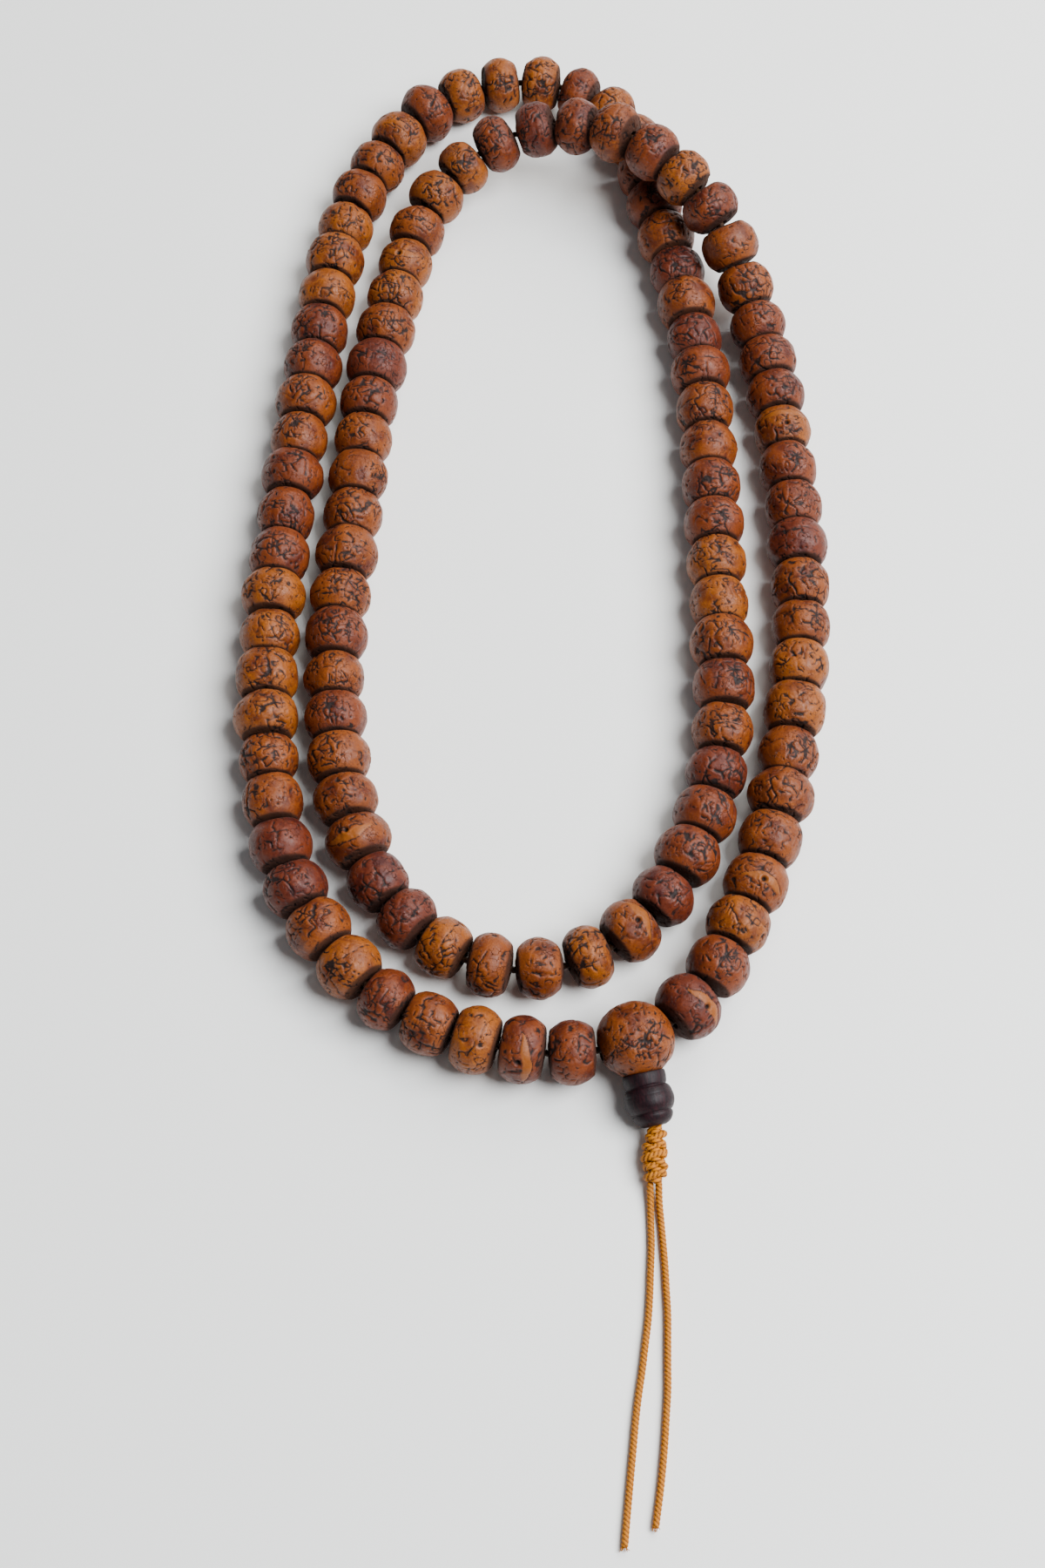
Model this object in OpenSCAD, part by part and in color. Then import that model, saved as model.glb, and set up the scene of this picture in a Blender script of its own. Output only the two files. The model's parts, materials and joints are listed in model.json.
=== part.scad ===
// Mala: 108 bodhi seed beads and a larger guru bead on one thin cord, with a turned stem
// bead, a snake knot and two loose cord tails. It lies flat in a loop doubled on itself,
// and the outer turn crosses over the inner one at the top.
// Millimetres. +Z is up, the beads rest on Z = 0, and Y runs along the length of the oval.

/* [Beads] */
// Widest diameter of an average bead; the layout of the strand grows with it
bead_d = 10; // [8:0.5:12]
// Most that a bead's diameter differs from the average, either way
bead_d_spread = 0.5; // [0:0.1:0.5]
// Most that a bead's length differs from the average, as a share of it
bead_length_spread = 0.06; // [0:0.01:0.08]
// Diameter of the hole drilled through a bead
bead_bore_d = 2; // [1.9:0.1:2.2]
// Space along the cord between two beads, where the average bead is 10 mm
bead_gap = 0.5; // [0.45:0.05:0.6]
// Another number gives another draw of bead sizes
bead_seed = 86; // [1:1:500]

/* [Guru and stem] */
// Diameter of the guru bead
guru_d = 11.6; // [11:0.1:12.4]
// Diameter of the guru bead's two side holes
guru_bore_d = 2.4; // [2.2:0.1:2.8]
// Diameter of the guru bead's lower hole, which lets the stem rock
guru_lower_bore_d = 3.6; // [3.4:0.1:3.8]
// Length of the turned stem bead
stem_length = 7.8; // [7:0.1:8.4]
// Widest diameter of the stem bead
stem_d = 7.3; // [6.8:0.1:7.4]
// Diameter of the hole through the stem bead
stem_bore_d = 2.8; // [2.7:0.1:3]

/* [Cord] */
// Diameter of the cord
cord_d = 1.1; // [0.9:0.05:1.2]
// Widest diameter of the snake knot
knot_d = 3.6; // [3:0.1:3.8]

/* [Hidden] */
BEADS = 108;
SINGLES_EACH_SIDE = 22; // beads next to the guru bead that are nodes of their own
ROW_LENGTH = 8; // beads in each of the rows that make up the rest
ROWS = (BEADS - 2 * SINGLES_EACH_SIDE) / ROW_LENGTH;
CORD_SIDES = 8;
ROUND = 48; // $fn of turned shapes

// Lengths that grow with the average bead
DESIGN_BEAD_D = 10;
scale_of_layout = bead_d / DESIGN_BEAD_D;
function sized(p) = p * scale_of_layout;

// The cord's route from the guru bead's right hole, up the outer right side, over the top
// crossing, round the inner turn and back along the outer left side. X, Y and height.
ROUTE = [
    [23, -81, 5], [30.5, -68, 5], [36.5, -53, 5], [40, -38, 5], [42.5, -22.5, 5],
    [43.5, -7, 5], [43, 8.5, 5], [42, 23.5, 5], [40, 38.5, 5], [36.5, 52.5, 7.5],
    [30.5, 64.5, 13.4], [20, 75, 16], [14.5, 79, 15.3], [8.5, 82, 14], [1, 83.4, 12],
    [-6.2, 82, 9.8], [-12.7, 78.2, 7.8], [-17.8, 72.5, 6.2], [-21, 65.5, 5.2], [-25, 49, 5],
    [-28.5, 28, 5], [-30.5, 5.5, 5], [-32.5, -16.5, 5], [-31.5, -38, 5], [-28, -53, 5],
    [-20.5, -66, 5], [-8, -74, 5], [7.5, -73, 5], [19, -63.5, 5], [26.5, -48.5, 5],
    [30, -32, 5], [30, -11, 5], [29.5, 12, 5], [28.5, 35.5, 5], [25, 57.5, 5],
    [21.3, 71.5, 5], [20.1, 80.5, 5], [17.2, 88.6, 5], [12.3, 95, 5], [6, 98.9, 5],
    [-1, 100.3, 5], [-8.4, 99.5, 5], [-15.2, 96.4, 5], [-21, 91.5, 5], [-25.5, 85.7, 5],
    [-32, 72.5, 5], [-35.5, 58, 5], [-38.5, 35, 5], [-41, 12.5, 5], [-43, -10, 5],
    [-43, -33, 5], [-39.5, -55.5, 5], [-32, -70, 5], [-22, -80, 5], [-9, -86, 5],
    [5, -88, 5.2]
];
GURU_AT = [14.6, -86]; // X and Y of the guru bead, which rests on the floor

STEM_TURN = 13; // degrees from -Y towards +X
GURU_FACE = 4.9; // from the guru bead's centre to its flat lower face
GURU_SIDE_FACE = 5.4; // from its centre to the flats round its side holes
STEM_GAP = 0.3; // between the guru bead's lower face and the stem bead
KNOT_GAP = 0.4; // between the stem bead and the knot

// The rest is given from the guru bead's centre in X and Y, and from the floor in height.
KNOT_END_AT = [2.5, -20];
TAIL_LEFT = [
    [1.9, -20.4, 1.5], [1.9, -23, 0.9], [1.9, -26, 0.6], [1.9, -29.5, 0.6],
    [1.7, -33, 0.6], [1.5, -36.5, 0.6], [1.2, -40, 0.6], [0.7, -43.5, 0.6],
    [0.2, -47, 0.6], [-0.4, -50.5, 0.6], [-0.9, -54, 0.6], [-1.3, -57.5, 0.6],
    [-1.7, -61, 0.6], [-2.1, -64.5, 0.6], [-2.5, -68, 0.6], [-2.8, -71, 0.6]
];
TAIL_RIGHT = [
    [3.2, -20.4, 1.5], [3.2, -23, 0.9], [3.4, -26, 0.6], [3.6, -29, 0.6],
    [3.8, -32.5, 0.6], [3.9, -36, 0.6], [4, -39.5, 0.6], [3.9, -43, 0.6],
    [3.8, -46.5, 0.6], [3.7, -50, 0.6], [3.4, -53.5, 0.6], [3.1, -57, 0.6],
    [2.7, -60.5, 0.6], [2.3, -63.5, 0.6], [1.9, -66, 0.6], [1.5, -68.5, 0.6]
];

// ---- The curve that the cord follows ----

STEPS = 10; // straight pieces of curve between two points of the route
guru_r = guru_d / 2;
guru_at = [sized(GURU_AT.x), sized(GURU_AT.y), guru_r];
route = [guru_at, for (p = ROUTE) sized(p), guru_at];

// A point between b and c on a smooth curve through a, b, c and d (Catmull-Rom)
function between(a, b, c, d, t) =
    0.5 * (2 * b + (c - a) * t + (2 * a - 5 * b + 4 * c - d) * t * t
    + (3 * b - a - 3 * c + d) * t * t * t);

function smooth(p) = [
    for (i = [0 : len(p) - 2], k = [0 : STEPS - 1])
        between(p[max(i - 1, 0)], p[i], p[i + 1], p[min(i + 2, len(p) - 1)], k / STEPS),
    p[len(p) - 1]
];

// The cord never lies lower than an average bead holds it.
curve = [for (p = smooth(route)) [p.x, p.y, max(p.z, bead_d / 2)]];
// Distance along the curve to each of its points
run = [
    for (i = 0, s = 0; i < len(curve); i = i + 1,
        s = s + (i < len(curve) ? norm(curve[i] - curve[i - 1]) : 0)) s
];
run_length = run[len(run) - 1];
run_tables = [for (axis = [0 : 2]) [for (i = [0 : len(curve) - 1]) [run[i], curve[i][axis]]]];
function on_curve(s) = [for (table = run_tables) lookup(s, table)];

// ---- Bead sizes and places ----

gap = sized(bead_gap);
strung_length = run_length - 2 * guru_r - (BEADS + 1) * gap;
bead_shares = rands(1 - bead_length_spread, 1 + bead_length_spread, BEADS, bead_seed);
share_total = bead_shares * [for (s = bead_shares) 1];
bead_lengths = [for (s = bead_shares) strung_length * s / share_total];
bead_diameters = rands(bead_d - bead_d_spread, bead_d + bead_d_spread, BEADS, bead_seed + 1);

// Where the cord bends: in the middle of each gap between two beads
bend_runs = [
    for (i = 0, s = guru_r + gap / 2; i <= BEADS;
        s = s + (i < BEADS ? bead_lengths[i] : 0) + gap, i = i + 1) s
];
bends = [for (s = bend_runs) on_curve(s)];

// Bead i, from 1, lies straight between two bends. A large bead sits higher on the cord, and
// a small one lower, so that each rests on the floor.
function bead_axis(i) = bends[i] - bends[i - 1];
function bead_centre(i) =
    (bends[i] + bends[i - 1]) / 2 + [0, 0, (bead_diameters[i - 1] - bead_d) / 2];

// ---- Names ----

function three_digits(n) = str(n < 10 ? "0" : "", n < 100 ? "0" : "", n);
function bead_name(i) = str("bead_", three_digits(i));
function row_first(row) = SINGLES_EACH_SIDE + 1 + (row - 1) * ROW_LENGTH;
function row_name(row) =
    str("beads_", three_digits(row_first(row)), "_to_",
        three_digits(row_first(row) + ROW_LENGTH - 1));
single_beads = [
    for (i = [1 : SINGLES_EACH_SIDE]) i,
    for (i = [BEADS - SINGLES_EACH_SIDE + 1 : BEADS]) i
];

// ---- Shared shapes ----

// Turns what stands on Z so that it points along v from a point
module aim(at, v)
    translate(at)
        rotate([0, acos(v.z / norm(v)), atan2(v.y, v.x)])
            children();

// Unit vector at a turn about Z from -Y towards +X, and a dip below level
function heading(turn, dip) = [sin(turn) * cos(dip), -cos(turn) * cos(dip), -sin(dip)];

END_SHARE = 0.7; // radius where a bead's side meets its end, as a share of its full radius
END_CROWN = 0.5; // how far a bead's drilled end stands out at the bore
BARREL_POWER = 2.6; // 2 gives a round side, and more gives a straighter one
BARREL_STEPS = 5; // bands on each half of a bead's side

function barrel_side(r, half) = [
    for (k = [-BARREL_STEPS : BARREL_STEPS])
        let (u = k / BARREL_STEPS)
            [r * (1 - (1 - END_SHARE) * pow(abs(u), BARREL_POWER)), u * (half - END_CROWN)]
];

module bead_shape(d, length, bore_r)
    rotate_extrude($fn = ROUND)
        polygon([
            [bore_r, -length / 2],
            each barrel_side(d / 2, length / 2),
            [bore_r, length / 2]
        ]);

module bead(i)
    color(i % 3 == 0 ? "saddlebrown" : "peru")
        aim(bead_centre(i), bead_axis(i))
            bead_shape(bead_diameters[i - 1], bead_lengths[i - 1], bead_bore_d / 2);

module bead_row(row)
    for (i = [row_first(row) : row_first(row) + ROW_LENGTH - 1])
        bead(i);

// A tube of flat sides along a list of points. Each ring stands square to the cord there.
function way_at(p, i) =
    let (v = p[min(i + 1, len(p) - 1)] - p[max(i - 1, 0)]) v / norm(v);
function ring(centre, way, r) =
    let (side = cross(way, [0, 0, 1]) / norm(cross(way, [0, 0, 1])), up = cross(side, way))
        [for (k = [0 : CORD_SIDES - 1])
            let (a = 360 * (k + 0.5) / CORD_SIDES) centre + r * (cos(a) * side + sin(a) * up)];

module tube(points, d) {
    rings = len(points);
    corners = [for (i = [0 : rings - 1]) each ring(points[i], way_at(points, i), d / 2)];
    walls = [
        for (i = [0 : rings - 2], k = [0 : CORD_SIDES - 1])
            let (a = i * CORD_SIDES + k, b = i * CORD_SIDES + (k + 1) % CORD_SIDES)
                each [[a, b, b + CORD_SIDES], [a, b + CORD_SIDES, a + CORD_SIDES]]
    ];
    near_end = [for (k = [CORD_SIDES - 1 : -1 : 0]) k];
    far_end = [for (k = [0 : CORD_SIDES - 1]) (rings - 1) * CORD_SIDES + k];
    polyhedron(points = corners, faces = [near_end, each walls, far_end]);
}

// ---- Stem bead's place: it leaves the guru bead's lower face and rests on its own bulge ----

// Radius as a share of the bulge's, and distance from the top as a share of the length
STEM_OUTLINE = [
    [0.74, 0], [0.83, 0.06], [0.83, 0.16], [0.76, 0.2], [0.9, 0.27], [0.98, 0.36], [1, 0.46],
    [0.97, 0.56], [0.88, 0.65], [0.78, 0.7], [0.8, 0.74], [0.79, 0.84], [0.7, 0.92], [0.52, 1]
];
BULGE_SHARE = 0.46; // where along the stem bead it is widest
stem_r = stem_d / 2;
stem_start = GURU_FACE + STEM_GAP;
stem_dip = asin((guru_r - stem_r) / (stem_start + BULGE_SHARE * stem_length));
stem_way = heading(STEM_TURN, stem_dip);
stem_at = guru_at + stem_start * stem_way;
stem_end = stem_at + stem_length * stem_way;

// ---- Guru bead ----

first_way = bends[0] - guru_at;
last_way = bends[BEADS] - guru_at;

// A hole from just behind the guru bead's centre, and the flat round its mouth
module guru_hole(way, r, face)
    aim(guru_at, way) {
        translate([0, 0, -r / 2])
            cylinder(r = r, h = guru_r + r, $fn = ROUND);
        translate([0, 0, face])
            cylinder(r = 0.7 * guru_r, h = guru_r, $fn = ROUND);
    }

module guru_bead()
    color("chocolate")
        difference() {
            translate(guru_at)
                sphere(r = guru_r, $fn = 64);
            guru_hole(first_way, guru_bore_d / 2, GURU_SIDE_FACE);
            guru_hole(last_way, guru_bore_d / 2, GURU_SIDE_FACE);
            guru_hole(stem_way, guru_lower_bore_d / 2, GURU_FACE);
        }

// ---- Stem bead, turned with a collar, a bulge, a second collar and a blunt nose ----

module stem_bead()
    color("#2b1420")
        aim(stem_at, stem_way)
            rotate_extrude($fn = ROUND)
                polygon([
                    [stem_bore_d / 2, 0],
                    for (p = STEM_OUTLINE) [p[0] * stem_r, p[1] * stem_length],
                    [stem_bore_d / 2, stem_length]
                ]);

// ---- Cord ----

function below_guru(points) = [for (p = points) [guru_at.x + p.x, guru_at.y + p.y, p.z]];

module strand_cord()
    color("goldenrod")
        tube([guru_at + 0.2 * first_way, each bends, guru_at + 0.2 * last_way], cord_d);

// The two strands that run side by side from the guru bead through the stem bead
PENDANT_CORD_D = 2.2;
CORD_IN_GURU = 2.6; // how far it reaches into the guru bead's lower hole

module pendant_cord()
    color("goldenrod")
        aim(stem_at - CORD_IN_GURU * stem_way, stem_way)
            cylinder(d = PENDANT_CORD_D, h = CORD_IN_GURU + stem_length - 0.1, $fn = ROUND);

knot_at = stem_end + KNOT_GAP * stem_way;
knot_end = [guru_at.x + KNOT_END_AT.x, guru_at.y + KNOT_END_AT.y, knot_d / 2];
knot_length = norm(knot_end - knot_at);

// Diameter as a share of the widest, and distance from the stem as a share of the length
KNOT_OUTLINE = [
    [0.6, 0], [0.84, 0.08], [0.88, 0.18], [0.74, 0.29], [0.94, 0.38], [1, 0.47], [0.86, 0.55],
    [0.98, 0.64], [0.98, 0.72], [0.84, 0.79], [0.94, 0.87], [0.86, 0.94], [0.5, 1]
];

module snake_knot()
    color("gold")
        aim(knot_at, knot_end - knot_at)
            rotate_extrude($fn = ROUND)
                polygon([
                    [0, 0],
                    for (p = KNOT_OUTLINE) [p[0] * knot_d / 2, p[1] * knot_length],
                    [0, knot_length]
                ]);

module tail_cord_left()
    color("orange")
        tube(below_guru(TAIL_LEFT), cord_d);

module tail_cord_right()
    color("gold")
        tube(below_guru(TAIL_RIGHT), cord_d);

// ---- Nodes ----

guru_bead();
stem_bead();
strand_cord();
pendant_cord();
snake_knot();
tail_cord_left();
tail_cord_right();
for (i = single_beads)
    bead(i);
for (row = [1 : ROWS])
    bead_row(row);
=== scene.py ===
"""The looks of a mala: 108 bodhi seed beads, a guru bead, a stem bead, a snake knot and two cord tails.

Lengths are in metres, except in the names that end in _mm. Every bead is its own mesh, cracked, pitted and
seamed in its geometry, and the shaders add the finer grain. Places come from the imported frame, apart from the
tails' routes and the knot's end, which repeat the part's.
"""

import json
import math

import bmesh
import bpy
import numpy as np
from mathutils import Euler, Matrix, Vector


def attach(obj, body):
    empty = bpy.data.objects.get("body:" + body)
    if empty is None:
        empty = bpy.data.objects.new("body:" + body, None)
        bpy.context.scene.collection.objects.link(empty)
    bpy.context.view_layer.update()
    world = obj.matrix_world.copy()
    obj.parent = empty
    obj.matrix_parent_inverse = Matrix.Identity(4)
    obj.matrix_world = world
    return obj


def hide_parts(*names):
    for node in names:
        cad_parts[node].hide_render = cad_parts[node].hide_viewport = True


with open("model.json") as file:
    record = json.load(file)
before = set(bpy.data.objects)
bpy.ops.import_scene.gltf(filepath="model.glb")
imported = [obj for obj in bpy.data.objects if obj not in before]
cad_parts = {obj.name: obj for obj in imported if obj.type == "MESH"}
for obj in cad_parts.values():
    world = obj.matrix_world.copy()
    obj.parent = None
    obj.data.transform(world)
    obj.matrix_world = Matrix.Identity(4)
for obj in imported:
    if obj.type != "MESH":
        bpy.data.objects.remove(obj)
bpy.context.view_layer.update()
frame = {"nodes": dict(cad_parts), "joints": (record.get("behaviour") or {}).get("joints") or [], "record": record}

MM = 0.001
FAR_MM = 9.0  # past the reach of every crack and every hole
JOINTS = {j["name"]: j for j in frame["joints"]}

# ---- Beads in strand order, from the guru bead's right hole and back to its left one ----

BEADS = 108
# One letter for each bead, sorted by a colour-sampling script from the reference picture: l light tan,
# m orange-brown, r red-brown, d dark. It isn't read by eye.
TONES = "drlmmmmllm" "mdrrlrrrmm" "rlrmrdrllm" "llmdrmmmmm" "rmrmmmddlm" "mlmdrrdmrm"
TONES += "llrrmmrdmd" "mrrllrlllr" "lmmlllrrmm" "rrrllllmmd" "dmlrmlrr"
TONE_COLOURS = {
    "l": (0.200, 0.0490, 0.0042),
    "m": (0.164, 0.0355, 0.0038),
    "r": (0.129, 0.0240, 0.0044),
    "d": (0.098, 0.0165, 0.0052),
}
SCAR_COLOUR = (0.22, 0.060, 0.006)
REDDER = (0.46, 0.33, 0.65)  # what a tone is multiplied by where the seed is dark
LIGHTER = (1.5, 1.66, 1.4)  # and where it is worn
CRACK_SHADE_COLOUR = (0.007, 0.0025, 0.002)  # painted shade, near-black, in the cracks
END_SHADE_COLOUR = (0.026, 0.0085, 0.004)  # painted shade on the drilled ends and round their holes
# Mostly invented: k crack network, s star of cracks, e eye hole with a seam and a scar, p pits and a seam,
# n nearly smooth. The guru bead has a kind of its own, g.
MARKS = "espepkspks" "kpksepkpkn" "pkspkpkspk" "ekspkpskpk" "kpskpespkk" "pkepskkpsk"
MARKS += "pkskpkskpk" "pskpkpkskp" "pkspknkpks" "pkskpkskpn" "kpspkpep"

# From the mala to the camera
VIEWER = np.array([0.0, -0.43, 0.9])


def unit(v):
    v = np.asarray(v, float)
    return v / np.linalg.norm(v)


def solids_of(node):
    """The separate solids of a CAD node, each as the array of its points."""
    bm = bmesh.new()
    bm.from_mesh(frame["nodes"][node].data)
    bmesh.ops.remove_doubles(bm, verts=bm.verts, dist=1e-6)
    found = []
    seen = set()
    for first in bm.verts:
        if first in seen:
            continue
        seen.add(first)
        waiting = [first]
        points = []
        while waiting:
            v = waiting.pop()
            points.append(tuple(v.co))
            for e in v.link_edges:
                w = e.other_vert(v)
                if w not in seen:
                    seen.add(w)
                    waiting.append(w)
        found.append(np.array(points))
    bm.free()
    return found


def turned_shape(points):
    """Centre, axis, length and radius of a turned solid, whose axis is the odd one of its principal ones."""
    centre = points.mean(0)
    values, vectors = np.linalg.eigh(np.cov((points - centre).T))
    axis = vectors[:, 0] if values[1] - values[0] > values[2] - values[1] else vectors[:, 2]
    along = (points - centre) @ axis
    across = np.linalg.norm(points - centre - np.outer(along, axis), axis=1)
    return {"centre": centre, "axis": axis, "length": np.ptp(along), "radius": across.max()}


# How far a bead's end stands out past the CAD's in mm, and how steeply it falls back to its rim. These are
# for the two ends next to the guru bead, and the others are worked out from the gap and the bend.
FIRST_END = (0.12, 0.06)
LAST_END = (0.3, 0.06)
CLEAR_MM = 0.07  # from each drilled end to the middle of its gap


def strand_beads():
    """All beads in strand order, each with its shape, its CAD node and the body it rides on."""
    bodies = {n: b for b, nodes in frame["record"]["behaviour"]["bodies"].items() for n in nodes}
    nodes = sorted((n for n in frame["nodes"] if n.startswith("bead")), key=lambda n: int(n.split("_")[1]))
    beads = []
    for node in nodes:
        waiting = [turned_shape(points) for points in solids_of(node)]
        while waiting:
            if beads:
                waiting.sort(key=lambda s: np.linalg.norm(s["centre"] - beads[-1]["centre"]))
            shape = waiting.pop(0)
            beads.append({**shape, "node": node, "body": bodies[node]})
    for i, bead in enumerate(beads):
        way = beads[min(i + 1, BEADS - 1)]["centre"] - beads[max(i - 1, 0)]["centre"]
        if way @ bead["axis"] < 0:
            bead["axis"] = -bead["axis"]
        bead["number"] = i + 1
        bead["near_end"], bead["far_end"] = FIRST_END, LAST_END
    for bead, after in zip(beads, beads[1:]):
        bend = math.acos(min(1.0, unit(bead["axis"]) @ unit(after["axis"])))
        gap = np.linalg.norm(after["centre"] - bead["centre"]) - (bead["length"] + after["length"]) / 2
        bead["far_end"] = after["near_end"] = (gap / MM / 2 - CLEAR_MM, math.tan(bend / 2))
    return beads


# ---- Noise and shaping ----


def hashed(x, y, z, seed):
    """A number from -1 to 1 for each lattice point."""
    h = (x * 73856093 & 0xFFFFFFFF) ^ (y * 19349663 & 0xFFFFFFFF) ^ (z * 83492791 & 0xFFFFFFFF)
    h = (h ^ (seed * 40503 & 0xFFFFFFFF)) * 1274126177 & 0xFFFFFFFF
    h = (h ^ (h >> 15)) * 668265263 & 0xFFFFFFFF
    return ((h ^ (h >> 13)) & 0xFFFF) / 32767.5 - 1


def noise(p, seed):
    """Smooth noise from -1 to 1 at points p, with lumps one unit wide."""
    cell = np.floor(p).astype(np.int64)
    f = p - cell
    f = f * f * (3 - 2 * f)
    total = np.zeros(len(p))
    for corner in range(8):
        dx, dy, dz = corner & 1, corner >> 1 & 1, corner >> 2
        weight = (f[:, 0] if dx else 1 - f[:, 0]) * (f[:, 1] if dy else 1 - f[:, 1])
        weight = weight * (f[:, 2] if dz else 1 - f[:, 2])
        total += weight * hashed(cell[:, 0] + dx, cell[:, 1] + dy, cell[:, 2] + dz, seed)
    return total


def wander(p, size, amount, seed):
    """Points p moved about by smooth noise."""
    return p + amount * np.stack([noise(p / size + 31 * k, seed + k) for k in range(3)], 1)


def ramp(low, high, value):
    """0 below low and 1 above high, with a smooth rise. low may be the larger of the two."""
    t = np.clip((value - low) / (high - low), 0, 1)
    return t * t * (3 - 2 * t)


def groove(distance, width):
    """1 at the middle of a groove, falling to about a third at its width."""
    return np.exp(-((distance / width) ** 2))


def softened(points, cuts):
    """An outline with its corners cut off, a few times over."""
    points = np.asarray(points, float)
    for _ in range(cuts):
        a, b = points[:-1], points[1:]
        cut = np.stack([0.75 * a + 0.25 * b, 0.25 * a + 0.75 * b], 1).reshape(-1, points.shape[1])
        points = np.vstack([points[:1], cut, points[-1:]])
    return points


def spaced(points, step):
    """Points an even step apart along a line."""
    points = np.asarray(points, float)
    run = np.concatenate([[0], np.cumsum(np.linalg.norm(np.diff(points, axis=0), axis=1))])
    count = max(2, int(round(run[-1] / step)) + 1)
    at = np.linspace(0, run[-1], count)
    return np.stack([np.interp(at, run, points[:, k]) for k in range(points.shape[1])], 1)


def smooth_line(points, steps):
    """A Catmull-Rom curve through points, the same as the CAD cord's."""
    p = np.asarray(points, float)
    line = []
    for i in range(len(p) - 1):
        a, b, c, d = p[max(i - 1, 0)], p[i], p[i + 1], p[min(i + 2, len(p) - 1)]
        for t in np.arange(steps) / steps:
            curve = 2 * b + (c - a) * t + (2 * a - 5 * b + 4 * c - d) * t * t
            line.append(0.5 * (curve + (3 * b - a - 3 * c + d) * t**3))
    return np.array(line + [p[-1]])


# ---- Meshes ----


def grid_faces(rows, columns, closed):
    """Quads over a grid of points that wraps round its columns, and round its rows as well if closed."""
    r = np.arange(rows if closed else rows - 1)
    a = (r[:, None] * columns + np.arange(columns)[None, :]).ravel()
    b = (r[:, None] * columns + (np.arange(columns)[None, :] + 1) % columns).ravel()
    up = ((r[:, None] + 1) % rows * columns + np.arange(columns)[None, :]).ravel()
    across = ((r[:, None] + 1) % rows * columns + (np.arange(columns)[None, :] + 1) % columns).ravel()
    return np.stack([a, b, across, up], 1)


def add_mesh(name, points, faces, caps=()):
    """A smooth mesh object from an array of points, an array of quads and a few larger faces."""
    mesh = bpy.data.meshes.new(name)
    mesh.from_pydata(points.tolist(), [], faces.tolist() + [list(c) for c in caps])
    mesh.polygons.foreach_set("use_smooth", [True] * len(mesh.polygons))
    mesh.update()
    piece = bpy.data.objects.new(name, mesh)
    bpy.context.scene.collection.objects.link(piece)
    return piece


def add_values(piece, **values):
    """Stores arrays on the mesh's points: numbers, or vectors of three."""
    for name, array in values.items():
        array = np.asarray(array, np.float32)
        kind = "FLOAT" if array.ndim == 1 else "FLOAT_VECTOR"
        attribute = piece.data.attributes.new(name, kind, "POINT")
        attribute.data.foreach_set("value" if array.ndim == 1 else "vector", array.ravel())


# ---- Materials ----


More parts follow.
